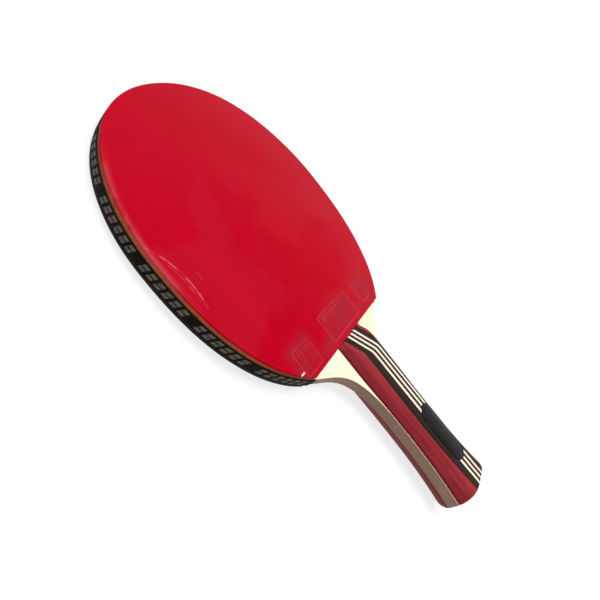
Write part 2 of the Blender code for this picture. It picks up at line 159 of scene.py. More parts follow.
# How finely the shapes are divided
TIP_SPANS, HEEL_SPANS, NECK_SPANS, HANDLE_SPANS, CORNER_SPANS = 110, 80, 70, 50, 24
TANGENT_SPANS, TAIL_SPANS = 400, 300
PLY_EDGE_SPANS, LIP_SPANS, BOX_CORNER_SPANS = 4, 5, 4
TAPE_COLUMNS, TAPE_END_SPANS = 13, 5
RIM_SPANS, GRIP_ROWS, RAMP_ROWS, END_SPANS = 8, 60, 70, 4
CLOSE_ROWS_Y, COLUMN_STEP, LEAST_COLUMNS, EDGE_COLUMNS = 84.0 * MM, 0.5 * MM, 5, 25
PILL_SPANS = 24

# Angles, in degrees, past which an edge stays sharp
SHARP, STRIP_SHARP, BADGE_SHARP = 35.0, 40.0, 50.0


# Meshes

def closed_mesh(name, points, faces):
    """A mesh with its doubled points merged and its faces turned outwards."""
    mesh = bpy.data.meshes.new(name)
    mesh.from_pydata(points.tolist(), [], faces)
    shape = bmesh.new()
    shape.from_mesh(mesh)
    bmesh.ops.remove_doubles(shape, verts=shape.verts, dist=MERGED)
    bmesh.ops.recalc_face_normals(shape, faces=shape.faces)
    shape.to_mesh(mesh)
    shape.free()
    return mesh


def put_in_scene(name, data):
    made = bpy.data.objects.new(name, data)
    bpy.context.scene.collection.objects.link(made)
    return made


def add_piece(name, points, faces, finish, node=None, sharp=SHARP):
    """A closed piece that rides on the bat; the points' y is measured from the butt."""
    mesh = closed_mesh(name, np.array(points) - [0, MIDDLE_Y, 0], faces)
    mesh.shade_smooth()
    mesh.set_sharp_from_angle(angle=math.radians(sharp))
    mesh.materials.append(finish)
    made = put_in_scene(name, mesh)
    if node:
        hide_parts(node)
    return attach(made, "root")


def grid_quads(rows, columns, start=0, closed=False):
    """Index quads of a rows by columns grid; closed joins the last column to the first."""
    row = np.arange(rows - 1)[:, None] * columns
    column = np.arange(columns if closed else columns - 1)[None, :]
    after = (column + 1) % columns
    quads = np.stack([row + column, row + after, row + columns + after, row + columns + column], -1)
    return (quads.reshape(-1, 4) + start).tolist()


def stacked_rings(rings):
    """Closed rings of equal length, joined in order, with a flat cap on the first and last."""
    rings = np.array(rings)
    rows, count = rings.shape[:2]
    faces = grid_quads(rows, count, closed=True)
    faces.append(list(range(count)))
    faces.append(list(range((rows - 1) * count, rows * count)))
    return rings.reshape(-1, 3), faces


def quarter(spans):
    """Angles from 0 to a quarter turn."""
    return np.linspace(0, math.pi / 2, spans + 1)


# Outlines, as arrays of x and y on the +X side from the tip down

def tip_curve(spans):
    """Superellipse: |x / half width|^n + |y / depth|^n = 1, from the tip to the widest line."""
    a = np.linspace(math.pi / 2, 0, spans + 1)
    return np.stack([HALF_HEAD * np.cos(a) ** (2 / TIP_ROUNDNESS),
                     WIDEST_Y + TIP_DEPTH * np.sin(a) ** (2 / TIP_ROUNDNESS)], 1)


def heel_curve(spans):
    """The same kind of curve below the widest line, down to the rubber's straight edge."""
    last = math.asin(((WIDEST_Y - RUBBER_EDGE_Y) / HEEL_DEPTH) ** (HEEL_ROUNDNESS / 2))
    a = np.linspace(0, last, spans + 1)[1:]
    return np.stack([HALF_HEAD * np.cos(a) ** (2 / HEEL_ROUNDNESS),
                     WIDEST_Y - HEEL_DEPTH * np.sin(a) ** (2 / HEEL_ROUNDNESS)], 1)


def neck_curve(spans):
    """Cubic Bezier from the heel, along its tangent, to the waist, along the handle."""
    last, before = heel_curve(TANGENT_SPANS)[[-1, -2]]
    shoulder = last + (last - before) / np.linalg.norm(last - before) * NECK_SHOULDER
    waist = np.array([TANG_WAIST, WAIST_Y])
    t = np.linspace(0, 1, spans + 1)[1:, None]
    return ((1 - t) ** 3 * last + 3 * (1 - t) ** 2 * t * shoulder
            + 3 * (1 - t) * t ** 2 * (waist + [0, NECK_REACH]) + t ** 3 * waist)


def flare_share(y):
    """A power of the way down from the waist to the butt's corners: 0 to 1."""
    return np.clip((WAIST_Y - y) / (WAIST_Y - BUTT_CORNER), 0, 1) ** FLARE_POWER


def butt_line(x, half):
    """The butt's end: flat in the middle, with superelliptic corners."""
    share = np.clip(np.abs(x) / half, 0, 1) ** BUTT_SQUARENESS
    return BUTT_CORNER * (1 - (1 - share) ** (1 / BUTT_SQUARENESS))


def handle_curve(spans):
    """The tang's flared side from the waist down, and the butt's corner to the middle."""
    y = np.linspace(WAIST_Y, BUTT_CORNER, spans + 1)[1:]
    side = np.stack([TANG_WAIST + (TANG_BUTT - TANG_WAIST) * flare_share(y), y], 1)
    x = TANG_BUTT * np.cos(quarter(CORNER_SPANS)[1:]) ** (2 / BUTT_SQUARENESS)
    return np.concatenate([side, np.stack([x, butt_line(x, TANG_BUTT)], 1)])


def both_sides(half):
    """A closed loop from its +X half; points on the middle line aren't doubled."""
    return np.concatenate([half, half[half[:, 0] > MERGED][::-1] * [-1, 1]])


def moved_out(line, distance, closed=False):
    """The line moved square to its own direction; distance is a number or one per point."""
    if closed:
        along = np.roll(line, -1, 0) - np.roll(line, 1, 0)
    else:
        along = np.gradient(line, axis=0)
    out = np.stack([-along[:, 1], along[:, 0]], 1)
    out /= np.linalg.norm(out, axis=1)[:, None]
    return line + out * np.reshape(distance, (-1, 1))


def run_along(line):
    """Each point's distance along the line from its start."""
    return np.concatenate([[0], np.cumsum(np.linalg.norm(np.diff(line, axis=0), axis=1))])


def at_height(loop, z):
    return np.column_stack([loop, np.full(len(loop), z)])


PLAYING_HALF = np.concatenate([tip_curve(TIP_SPANS), heel_curve(HEEL_SPANS)])


def rubber_loop(bevel, overhang, share):
    """The head's outline drawn in by a share of the cut edge's slant.

    The slant is the bevel along the sides, fades out towards the straight edge, and turns into
    the overhang at the tip.
    """
    y = PLAYING_HALF[:, 1]
    sides = np.clip((y - RUBBER_EDGE_Y) / BEVEL_FADE, 0, 1)
    tip = np.clip((y - TIP_Y + TIP_BEVEL_END + TIP_BEVEL_FADE) / TIP_BEVEL_FADE, 0, 1)
    half = moved_out(PLAYING_HALF, -share * (bevel * sides * (1 - tip) - overhang * tip))
    half[0, 0] = 0
    return both_sides(half)


# Blade, rubbers and tape

def make_blade(finishes):
    """Five plies of one outline. The face plies have their outer edges rounded over."""
    loop = both_sides(np.concatenate([PLAYING_HALF, neck_curve(NECK_SPANS), handle_curve(HANDLE_SPANS)]))
    eased = [(PLY_ROUND_OVER * (1 - math.cos(a)), PLY_ROUND_OVER * (1 - math.sin(a)))
             for a in quarter(PLY_EDGE_SPANS)]
    square = [(0, 0)]
    plies = (("core_ply", "blade_core", "core_wood", -CORE_Z, CORE_Z, square),
             ("front_cross_ply", "blade_front_cross_ply", "tan_veneer", CORE_Z, CROSS_PLY_Z, square),
             ("back_cross_ply", "blade_back_cross_ply", "tan_veneer", -CORE_Z, -CROSS_PLY_Z, square),
             ("front_face_ply", "blade_front_face_ply", "pale_veneer", CROSS_PLY_Z, FACE_Z, eased),
             ("back_face_ply", "blade_back_face_ply", "pale_veneer", -CROSS_PLY_Z, -FACE_Z, eased))
    for name, node, slot, inner, outer, edge in plies:
        rings = [at_height(loop, inner)]
        for inset, drop in edge:
            z = outer - math.copysign(drop, outer)
            rings.append(at_height(moved_out(loop, -inset, closed=True), z))
        points, faces = stacked_rings(rings)
        add_piece(name, points, faces, finishes[slot], node)


def make_rubbers(finishes):
    """A sponge and a topsheet on each side. The cut edge slants in and its top is rounded."""
    thickness = SPONGE + TOPSHEET
    rubbers = ((1, "front", FRONT_BEVEL, TIP_OVERHANG, "orange_sponge", "red_rubber"),
               (-1, "back", BACK_BEVEL, 0, "black_sponge", "black_rubber"))
    for side, face, bevel, overhang, sponge_slot, sheet_slot in rubbers:
        sponge = [at_height(rubber_loop(bevel, overhang, h / thickness), side * (FACE_Z + h))
                  for h in (0, SPONGE)]
        points, faces = stacked_rings(sponge)
        add_piece(face + "_sponge_layer", points, faces, finishes[sponge_slot],
                  face + "_sponge")
        rings = [sponge[1]]
        for a in quarter(LIP_SPANS):
            height = thickness - SHEET_LIP * (1 - math.sin(a))
            loop = rubber_loop(bevel, overhang, height / thickness)
            loop = moved_out(loop, -SHEET_LIP * (1 - math.cos(a)), closed=True)
            rings.append(at_height(loop, side * (FACE_Z + height)))
        points, faces = stacked_rings(rings)
        add_piece(face + "_playing_sheet", points, faces, finishes[sheet_slot],
                  face + "_topsheet")


def rounded_box(middle, half, corner):
    """A loop round a box with quarter-circle corners; middle and half are x and y."""
    loop = []
    for k, sides in enumerate(((1, 1), (-1, 1), (-1, -1), (1, -1))):
        a = quarter(BOX_CORNER_SPANS) + k * math.pi / 2
        at = np.array(middle) + (np.array(half) - corner) * sides
        loop.append(at + corner * np.stack([np.cos(a), np.sin(a)], 1))
    return np.concatenate(loop)


def make_pressed_frames(finish):
    """Plain raised frames and short bars pressed into the red rubber beside the grip.

    A frame is six nested loops, from its outer foot over its crest to its inner foot, and a bar
    is three, capped. Their feet are sunk in the rubber.
    """
    points, faces = [], []
    sunk, foot, crest = RUBBER_Z - PRESSED_SUNK, RUBBER_Z + PRESSED_FOOT, RUBBER_Z + PRESSED_HEIGHT
    across = ((FRAME_HALF_FOOT, sunk), (FRAME_HALF_FOOT, foot), (FRAME_HALF_CREST, crest),
              (-FRAME_HALF_CREST, crest), (-FRAME_HALF_FOOT, foot), (-FRAME_HALF_FOOT, sunk))
    for middle, half in PRESSED_FRAMES:
        at = len(points)
        rings = [at_height(rounded_box(middle, np.array(half) + grown, FRAME_CORNER), z)
                 for grown, z in across]
        points += np.concatenate(rings).tolist()
        count = len(rings[0])
        faces += grid_quads(len(rings), count, start=at, closed=True)
        last = at + (len(rings) - 1) * count
        faces += [[last + i, last + (i + 1) % count, at + (i + 1) % count, at + i] for i in range(count)]
    for x, y, length in PRESSED_BARS:
        at = len(points)
        half = np.array([BAR_HALF_WIDTH, length / 2])
        rings = [at_height(rounded_box((x, y), half - drawn, BAR_CORNER), z)
                 for drawn, z in ((0, sunk), (0, foot), (BAR_DRAWN_IN, crest))]
        bar, sides = stacked_rings(rings)
        points += bar.tolist()
        faces += [[i + at for i in face] for face in sides]
    points = np.array(points) + [0, MIDDLE_Y, 0]
    add_piece("pressed_frames", points, faces, finish)


def make_tape(finish):
    """A strip carried round the head and a little past the rubber.

    Its thickness is the full one times (1 - thinning times |across|^n), across from -1 to 1.
    """
    neck = np.concatenate([PLAYING_HALF[-1:], neck_curve(TAIL_SPANS)])
    ends = np.linspace(0, TAPE_PAST_RUBBER, TAPE_END_SPANS + 1)[1:]
    tail = np.stack([np.interp(ends, run_along(neck), neck[:, k]) for k in (0, 1)], 1)
    half = np.concatenate([PLAYING_HALF, tail])
    line = np.concatenate([half[:0:-1] * [-1, 1], half])
    across = np.linspace(-1, 1, TAPE_COLUMNS)
    skin = TAPE_THICKNESS * (1 - TAPE_THINNING * np.abs(across) ** TAPE_FLATNESS)
    outer = np.stack([moved_out(line, TAPE_GAP + s) for s in skin], 1)
    inner = np.repeat(moved_out(line, TAPE_GAP)[:, None], TAPE_COLUMNS, 1)
    heights = np.broadcast_to(across * TAPE_WIDTH / 2, outer.shape[:2])
    section = np.concatenate([np.dstack([outer, heights]), np.dstack([inner, heights])[:, ::-1]], 1)
    count = section.shape[1]
    faces = grid_quads(len(line), count, closed=True)
    faces += [list(range(count)), list(range((len(line) - 1) * count, len(line) * count))]
    tape = add_piece("edge_band", section.reshape(-1, 3), faces, finish, "edge_tape")
    lay_uv_along(tape, line)


def lay_uv_along(tape, line):
    """Gives the tape a UV map in metres: u the distance along its line, v the height."""
    layer = tape.data.uv_layers.new(name="along")
    places = np.empty(len(tape.data.vertices) * 3)
    tape.data.vertices.foreach_get("co", places)
    places = places.reshape(-1, 3) + [0, MIDDLE_Y, 0]
    gaps = np.linalg.norm(places[:, None, :2] - line[None], axis=2)
    u = run_along(line)[gaps.argmin(1)]
    corners = np.empty(len(tape.data.loops), dtype=int)
    tape.data.loops.foreach_get("vertex_index", corners)
    uv = np.stack([u[corners], places[corners, 2]], 1)
    layer.data.foreach_set("uv", uv.ravel())


# Grip scales

def scale_half_width(y):
    """Half the scale's width: flared to the butt, and easing out to the shoulder near the rubber."""
    share = np.clip((y - WAIST_Y) / (SHOULDER_Y - WAIST_Y), 0, 1)
    eased = share ** 2 * (3 - 2 * share)
    return SCALE_WAIST + (SCALE_TOP - SCALE_WAIST) * eased + (SCALE_BUTT - SCALE_WAIST) * flare_share(y)


def soft_lower(a, b, sharpness):
    """The lower of two heights, rounded where they meet: an inverse power mean."""
    least = 1e-8
    a, b = np.maximum(a, least), np.maximum(b, least)
    return (a ** -sharpness + b ** -sharpness) ** (-1 / sharpness)


def crown(x, y, drop=0.0):
    """Height of the scale above the blade: height times (1 - (x / half width)^n)^k.

    The height falls from the butt to the waist and on to the ramp's crest. Near the rubber each
    side is sanded to a flank: a slope from the scale's edge that gets flatter towards the end.
    """
    toward_crest = np.clip((y - WAIST_Y) / (CREST_Y - WAIST_Y), 0, 1)
    middle = (SCALE_HEIGHT + (SCALE_BUTT_HEIGHT - SCALE_HEIGHT) * flare_share(y)
              + (SCALE_CREST_HEIGHT - SCALE_HEIGHT) * toward_crest)
    half_width = scale_half_width(y)
    flatness = CROWN_FLATNESS + (BUTT_FLATNESS - CROWN_FLATNESS) * flare_share(y)
    section = (1 - np.clip(np.abs(x) / half_width, 0, 1) ** flatness) ** CROWN_FALL
    rise = FLANK_END_SLOPE + FLANK_STEEPENS * np.clip(GRIP_LENGTH - y, 0, None)
    return soft_lower((middle - drop) * section, (half_width - np.abs(x)) * rise, FLANK_SHARPNESS)


def scale_top(x, y, drop=0.0):
    """The crown, cut by the ramp with a softly sanded crease, and eased at the rubber's edge."""
    ramp = RAMP_END_HEIGHT + (GRIP_LENGTH - y) * (SCALE_CREST_HEIGHT - RAMP_END_HEIGHT) / RAMP_LENGTH
    top = soft_lower(crown(x, y, drop), ramp, CREASE_SHARPNESS)
    past = np.clip(y - (GRIP_LENGTH - EASED_END), 0, EASED_END)
    return np.clip(top - (EASED_END - np.sqrt(EASED_END ** 2 - past ** 2)), 0, None)


def strip_rows():
    """Distances from the butt's end: close at the rim, on the ramp's crease and at the rubber."""
    return np.concatenate([RIM_ROUND * (1 - np.cos(quarter(RIM_SPANS))),
                           np.linspace(RIM_ROUND, CLOSE_ROWS_Y, GRIP_ROWS)[1:],
                           np.linspace(CLOSE_ROWS_Y, GRIP_LENGTH - EASED_END, RAMP_ROWS)[1:],
                           GRIP_LENGTH - EASED_END * (1 - np.sin(quarter(END_SPANS)[1:]))])


def make_strip(name, node, finish, inner, outer, side, mirror):
    """A closed strip of the scale between two upright planes, or out to the scale's edge.

    Rows run from the butt's curved end to the rubber; columns run across the strip. Faces where
    the scale has run out to nothing are left out.
    """
    rows = strip_rows()[:, None]
    if outer is None:
        share = np.sin(quarter(EDGE_COLUMNS - 1))[None]
    else:
        share = np.linspace(0, 1, LEAST_COLUMNS + round((outer - inner) / COLUMN_STEP))[None]
    end = butt_line(inner + ((SCALE_BUTT if outer is None else outer) - inner) * share, SCALE_BUTT)
    y = end + rows * (GRIP_LENGTH - end) / GRIP_LENGTH
    left = np.clip(RIM_ROUND - rows, 0, None)
    drop = RIM_ROUND - np.sqrt(RIM_ROUND ** 2 - left ** 2)
    edge = scale_half_width(y) if outer is None else outer
    x = inner + (edge - inner) * share
    top = FACE_Z + scale_top(x, y, drop)
    shape = y.shape
    upper = np.stack([mirror * np.broadcast_to(x, shape), y, side * top], -1)
    lower = upper.copy()
    lower[..., 2] = side * FACE_Z
    count = shape[0] * shape[1]
    thick = (top - FACE_Z > MERGED).ravel()
    index = np.arange(count).reshape(shape)
    quads = np.array(grid_quads(*shape))
    quads = quads[thick[quads].any(1)]
    faces = quads.tolist() + (quads + count).tolist()
    for border in (index[0], index[-1], index[:, 0], index[:, -1]):
        a, b = border[:-1], border[1:]
        a, b = a[thick[a] | thick[b]], b[thick[a] | thick[b]]
        faces += np.stack([a, b, b + count, a + count], 1).tolist()
    points = np.concatenate([upper.reshape(-1, 3), lower.reshape(-1, 3)])
    return add_piece(name, points, faces, finish, node, STRIP_SHARP)


def strip_plan():
    """Slot, node ending, and the inner and outer x of each strip on the +X side."""
    a, b, c, d = STRIP_EDGES
    return (("cream_veneer", "cream_middle", -a, a), ("dark_veneer", "dark_thin", a, b),
            ("cream_veneer", "cream", b, c), ("dark_veneer", "dark", c, d), ("red_veneer", "red", d, None))


def pill(length, width):
    """A stadium outline about the badge's middle: two half circles joined by straight sides."""
    a = np.linspace(0, math.pi, PILL_SPANS + 1)
    straight_half = (length - width) / 2
    half = np.stack([width / 2 * np.cos(a), straight_half + width / 2 * np.sin(a)], 1)
    y = np.linspace(1, -1, PILL_SPANS + 1)[1:-1] * straight_half
    side = np.concatenate([half, np.column_stack([np.full(len(y), -width / 2), y])])
    return np.concatenate([side, side * -1]) + [0, BADGE_Y]


def cut_pocket(strip):
    """Takes the badge's pocket out of a strip and leaves the result in the strip's own mesh."""
    loop = pill(BADGE_LENGTH + 2 * BADGE_CLEARANCE, BADGE_WIDTH + 2 * BADGE_CLEARANCE) - [0, MIDDLE_Y]
    points, faces = stacked_rings([at_height(loop, POCKET_Z), at_height(loop, POCKET_Z + CUTTER_HEIGHT)])
    cutter = put_in_scene("pocket", closed_mesh("pocket", points, faces))
    step = strip.modifiers.new("pocket", "BOOLEAN")
    step.operation = "DIFFERENCE"
    step.solver = "EXACT"
    step.object = cutter
    bpy.context.view_layer.update()
    result = bpy.data.meshes.new_from_object(strip.evaluated_get(bpy.context.evaluated_depsgraph_get()))
    strip.modifiers.clear()
    strip.data = result
    result.set_sharp_from_angle(angle=math.radians(STRIP_SHARP))
    bpy.data.objects.remove(cutter)


def make_scales(finishes):
    """Nine strips a side: the middle one, and four that are mirrored left and right."""
    for side, face in ((1, "front"), (-1, "back")):
        for slot, ending, inner, outer in strip_plan():
            hands = ((1, ""),) if inner < 0 else ((-1, "_left"), (1, "_right"))
            for mirror, hand in hands:
                node = "%s_grip_%s%s" % (face, ending, hand)
                name = "%s_scale_%s%s" % (face, ending, hand)
                strip = make_strip(name, node, finishes[slot], inner, outer, side, mirror)
                if side > 0 and outer is not None:
                    cut_pocket(strip)


def make_badge(finish):
    """Rings drawn in from the pill's edge to its spine: a raised rim, a groove and a dome.

    The last, narrow ring is closed by faces across it, from its end at the rubber's side.
    """
    loop = pill(BADGE_LENGTH, BADGE_WIDTH)
    reach = (BADGE_LENGTH - BADGE_WIDTH) / 2
    spine = np.column_stack([np.zeros(len(loop)), np.clip(loop[:, 1], BADGE_Y - reach, BADGE_Y + reach)])
    rings = [at_height(loop, POCKET_Z + BADGE_SEAT)]
    for share, proud in BADGE_PROFILE:
        ring = spine + (loop - spine) * share
        z = FACE_Z + crown(ring[:, 0], ring[:, 1]) + proud * MM
        rings.append(np.column_stack([ring, z]))
    count = len(loop)
    faces = grid_quads(len(rings), count, closed=True)
    faces.append(list(range(count)))
    last = (len(rings) - 1) * count
    end = PILL_SPANS // 2
    for k in range(count // 2):
        face = (end + k, end + k + 1, end - k - 1, end - k)
        faces.append(list(dict.fromkeys(last + i % count for i in face)))
    add_piece("black_badge", np.concatenate(rings), faces, finish, "grip_badge", BADGE_SHARP)


# Shader nodes

def linear(red, green, blue):
    """A colour written as a screen shows it, 0 to 255, as the shader wants it."""
    share = np.array([red, green, blue]) / 255
    value = np.where(share <= 0.04045, share / 12.92, ((share + 0.055) / 1.055) ** 2.4)
    return (*value.tolist(), 1.0)


def new_finish(name, **sockets):
    """A material, its tree and its Principled shader; _ stands for the space in a socket's name."""
    made = bpy.data.materials.new(name)
    made.use_nodes = True
    shader = made.node_tree.nodes["Principled BSDF"]
    for label, value in sockets.items():
        shader.inputs[label.replace("_", " ")].default_value = value
    return made, made.node_tree, shader


def set_inputs(tree, made, inputs):
    """Gives each input a value or another node's output."""
    for key, value in inputs.items():
        if isinstance(value, bpy.types.NodeSocket):
            tree.links.new(value, made.inputs[key])
        else:
            made.inputs[key].default_value = value
    return made


def add_node(tree, kind, inputs=None, **settings):
    made = tree.nodes.new("ShaderNode" + kind)
    for label, value in settings.items():
        setattr(made, label, value)
    return set_inputs(tree, made, inputs or {})


def maths(tree, operation, a, b=0.0):
    return add_node(tree, "Math", {0: a, 1: b}, operation=operation).outputs[0]


def times(tree, a, b):
    return maths(tree, "MULTIPLY", a, b)


def highest(tree, a, b):
    return maths(tree, "MAXIMUM", a, b)


def size_of(tree, value):
    """The value without its sign."""
    return maths(tree, "ABSOLUTE", value)


def vectors(tree, operation, a, b=(0.0, 0.0, 0.0)):
    return add_node(tree, "VectorMath", {0: a, 1: b}, operation=operation).outputs


def parts_of(tree, vector):
    """A vector's x, y and z."""
    return add_node(tree, "SeparateXYZ", {0: vector}).outputs


def mixed(tree, share, a, b):
    return add_node(tree, "Mix", {0: share, 6: a, 7: b}, data_type="RGBA").outputs[2]


def ramped(tree, value, low, high, to_low=0.0, to_high=1.0):
    """The value carried from one range to another, with soft ends."""
    ends = {0: value, 1: low, 2: high, 3: to_low, 4: to_high}
    return add_node(tree, "MapRange", ends, interpolation_type="SMOOTHSTEP").outputs[0]


def noise(tree, vector, scale, detail=2.0, roughness=0.5):
    inputs = {"Vector": vector, "Scale": scale, "Detail": detail, "Roughness": roughness}
    return add_node(tree, "TexNoise", inputs).outputs[0]


def own_place(tree):
    """Where a point is on the bat, from the bat's middle."""
    return add_node(tree, "TexCoord").outputs["Object"]


def mapped(tree, place, scale, turn=0.0):
    """The place scaled along each axis, so that a pattern runs long where the scale is small."""
    inputs = {"Vector": place, "Scale": scale, "Rotation": (0, 0, turn)}
    return add_node(tree, "Mapping", inputs).outputs[0]


def add_bump(tree, shader, height, strength, distance):
    lift = add_node(tree, "Bump", {"Height": height, "Strength": strength, "Distance": distance})
    tree.links.new(lift.outputs[0], shader.inputs["Normal"])


def new_group(name, inputs, outputs):
    """A shader node group with its sockets; inputs are (kind, name, value), outputs (kind, name)."""
    tree = bpy.data.node_groups.new(name, "ShaderNodeTree")
    for kind, label, value in inputs:
        socket = tree.interface.new_socket(label, in_out="INPUT", socket_type="NodeSocket" + kind)
        if value is not None:
            socket.default_value = value
    for kind, label in outputs:
        tree.interface.new_socket(label, in_out="OUTPUT", socket_type="NodeSocket" + kind)
    return tree, tree.nodes.new("NodeGroupInput"), tree.nodes.new("NodeGroupOutput")


# Wood

def grain_group():
    """Wood grain along the vector's y: broad streaks, fine fibres and short dark pores.

    The streaks and fibres are bent: their place is multiplied by a slow noise.
    """
    inputs = (("Vector", "Vector", None), ("Float", "Scale", 900.0), ("Float", "Pore amount", 0.5),
              ("Color", "Early wood", (0.8, 0.8, 0.8, 1)), ("Color", "Late wood", (0.4, 0.4, 0.4, 1)),
              ("Color", "Pore", (0.1, 0.1, 0.1, 1)))
    tree, given, out = new_group("wood grain", inputs, (("Color", "Color"), ("Float", "Height")))
    vector, scale = given.outputs["Vector"], given.outputs["Scale"]
    bend = noise(tree, vector, 60.0)
    shifted = vectors(tree, "ADD", vector, in_mm(0.8, 0.0, 0.8))[0]
    push = add_node(tree, "VectorMath", {0: in_mm(1.2, 0.0, 1.2), "Scale": bend}, operation="SCALE")
    bent = add_node(tree, "VectorMath", {0: shifted, 1: bend, 2: push.outputs[0]},
                    operation="MULTIPLY_ADD").outputs[0]
    streaks = ramped(tree, noise(tree, bent, scale, 3.0, 0.6), 0.35, 0.68)
    fibres = noise(tree, bent, times(tree, scale, 4.5), 4.0, 0.65)
    pores = ramped(tree, noise(tree, shifted, times(tree, scale, 2.6), 1.0), 0.66, 0.74)
    pores = times(tree, pores, given.outputs["Pore amount"])
    share = maths(tree, "ADD", times(tree, streaks, 0.65), times(tree, fibres, 0.35))
    colour = mixed(tree, share, given.outputs["Early wood"], given.outputs["Late wood"])
    colour = mixed(tree, pores, colour, given.outputs["Pore"])
    height = maths(tree, "SUBTRACT", times(tree, fibres, 0.5), pores)
    set_inputs(tree, out, {"Color": colour, "Height": height})
    return tree


def wood_finish(name, group, early, late, pore, scale=900.0, pores=0.5, along="y", edge=None, low=0.0,
                **sockets):
    """Grain along y or x. The cut edge all round a ply can be another, sanded and greyed tone.

    The low setting is how much painted shade darkens the wood in the corner between scale and blade.
    """
    made, tree, shader = new_finish(name, **sockets)
    place = own_place(tree)
    stretch = (1, GRAIN_SCALE_ALONG, 1) if along == "y" else (GRAIN_SCALE_ALONG, 1, 1)
    inputs = {"Vector": mapped(tree, place, stretch), "Early wood": linear(*early),
              "Late wood": linear(*late), "Pore": linear(*pore), "Scale": scale, "Pore amount": pores}
    colour, height = add_node(tree, "Group", inputs, node_tree=group).outputs
    if edge:
        normal = add_node(tree, "NewGeometry").outputs["True Normal"]
        flat = ramped(tree, size_of(tree, parts_of(tree, normal)[2]), 0.75, 0.95)
        tone = mixed(tree, height, linear(*edge), linear(*[0.86 * c for c in edge]))
        colour = mixed(tree, flat, tone, colour)
    # Painted shade: the wood darkens towards the blade's face, in the corner between scale and blade.
    if low:
        level = size_of(tree, parts_of(tree, place)[2])
        corner = ramped(tree, level, FACE_Z + CORNER_SHADE_GONE, FACE_Z + CORNER_SHADE_FULL, 0.0, low)
        colour = mixed(tree, corner, colour, linear(*pore))
    rough = sockets["Roughness"]
    rough = ramped(tree, height, -0.6, 0.5, rough + 0.12, rough - 0.05)
    set_inputs(tree, shader, {"Base Color": colour, "Roughness": rough})
    add_bump(tree, shader, height, 0.1, 0.1 * MM)
    return made


# Rubber

def box_mask(tree, place, middle, half, fade):
    """1 inside an upright box of x and y, falling to 0 across its edge."""
    away = vectors(tree, "SUBTRACT", place, (*middle, 0))[0]
    x, y, _ = parts_of(tree, vectors(tree, "ABSOLUTE", away)[0])
    across = ramped(tree, x, half[0] + fade, half[0] - fade)
    along = ramped(tree, y, half[1] + fade, half[1] - fade)
    return times(tree, across, along)


def arc_mask(tree, place, middle, radius, box, width):
    """A thin line on a circle on top of the rubber, where the box shows it."""
    away = vectors(tree, "SUBTRACT", place, (*middle, RUBBER_Z))[0]
    far = vectors(tree, "LENGTH", away)["Value"]
    off = size_of(tree, maths(tree, "SUBTRACT", far, radius))
    return times(tree, ramped(tree, off, width, 0.2 * width), box_mask(tree, place, *box))


def rim_sheen_mask(tree, place):
    """1 along the head's rim on the -X side, where the painted sheen lies: from how near the head's
    superellipse a point is.
    """
    x, y, _ = parts_of(tree, place)
    powers = []
    for value, middle, reach in ((x, 0.0, HALF_HEAD), (y, WIDEST_Y - MIDDLE_Y, TIP_DEPTH)):
        share = maths(tree, "DIVIDE", size_of(tree, maths(tree, "SUBTRACT", value, middle)), reach)
        powers.append(maths(tree, "POWER", share, TIP_ROUNDNESS))
    near = ramped(tree, maths(tree, "ADD", *powers), 0.89, 0.99)
    return times(tree, near, box_mask(tree, place, *RIM_SHEEN_BOX))


def marks_and_painted_sheen(tree, place, base, worn):
    """The base colour with handled patches, and painted sheen over it: haze, a sheen along the rim,
    highlights on scuff lines and a glint.

    The haze lies in paler patches with soft contours and, as a painted sheen, towards the tip. The second
    result is the mask of the handled patches.
    """
    mottled = ramped(tree, noise(tree, place, 150.0, 3.0, 0.55), 0.32, 0.56, 0.3, 1.0)
    handled = times(tree, mottled, box_mask(tree, place, *HANDLED_MIDDLE))
    for box in HANDLED_SIDES:
        handled = highest(tree, handled, times(tree, mottled, box_mask(tree, place, *box)))
    # Scuff lines, painted as highlights on their creases.
    scuff_highlights = 0.0
    for middle, radius, box, width, strength in SCUFF_HIGHLIGHTS:
        line = arc_mask(tree, place, middle, radius, box, width)
        scuff_highlights = highest(tree, scuff_highlights, times(tree, line, strength))
    broken = ramped(tree, noise(tree, place, 260.0, 3.0), 0.42, 0.6, 0.1, 0.8)
    # Painted sheen, paler towards the tip; and paler patches with soft contours.
    sheen_toward_tip = ramped(tree, parts_of(tree, place)[1], SHEEN_STARTS_Y, SHEEN_FULL_Y, 0.0, 0.07)
    pale_patches = ramped(tree, noise(tree, place, 19.0, 3.0, 0.45), 0.47, 0.54, 0.0, 0.08)
    uneven = ramped(tree, noise(tree, place, 70.0, 3.0), 0.35, 0.6, 0.1, 0.42)
    # Painted sheen, highlights and glint, over the handled wear.
    layers = ((highest(tree, sheen_toward_tip, pale_patches), SHEEN_AND_HAZE_TONE),
              (times(tree, handled, 0.7), worn),
              (times(tree, rim_sheen_mask(tree, place), uneven), RIM_SHEEN_TONE),
              (times(tree, scuff_highlights, broken), SCUFF_HIGHLIGHT_TONE),
              (box_mask(tree, place, *PAINTED_GLINT), GLINT_TONE))
    for share, tone in layers:
        base = mixed(tree, share, base, linear(*tone))
    return base, handled


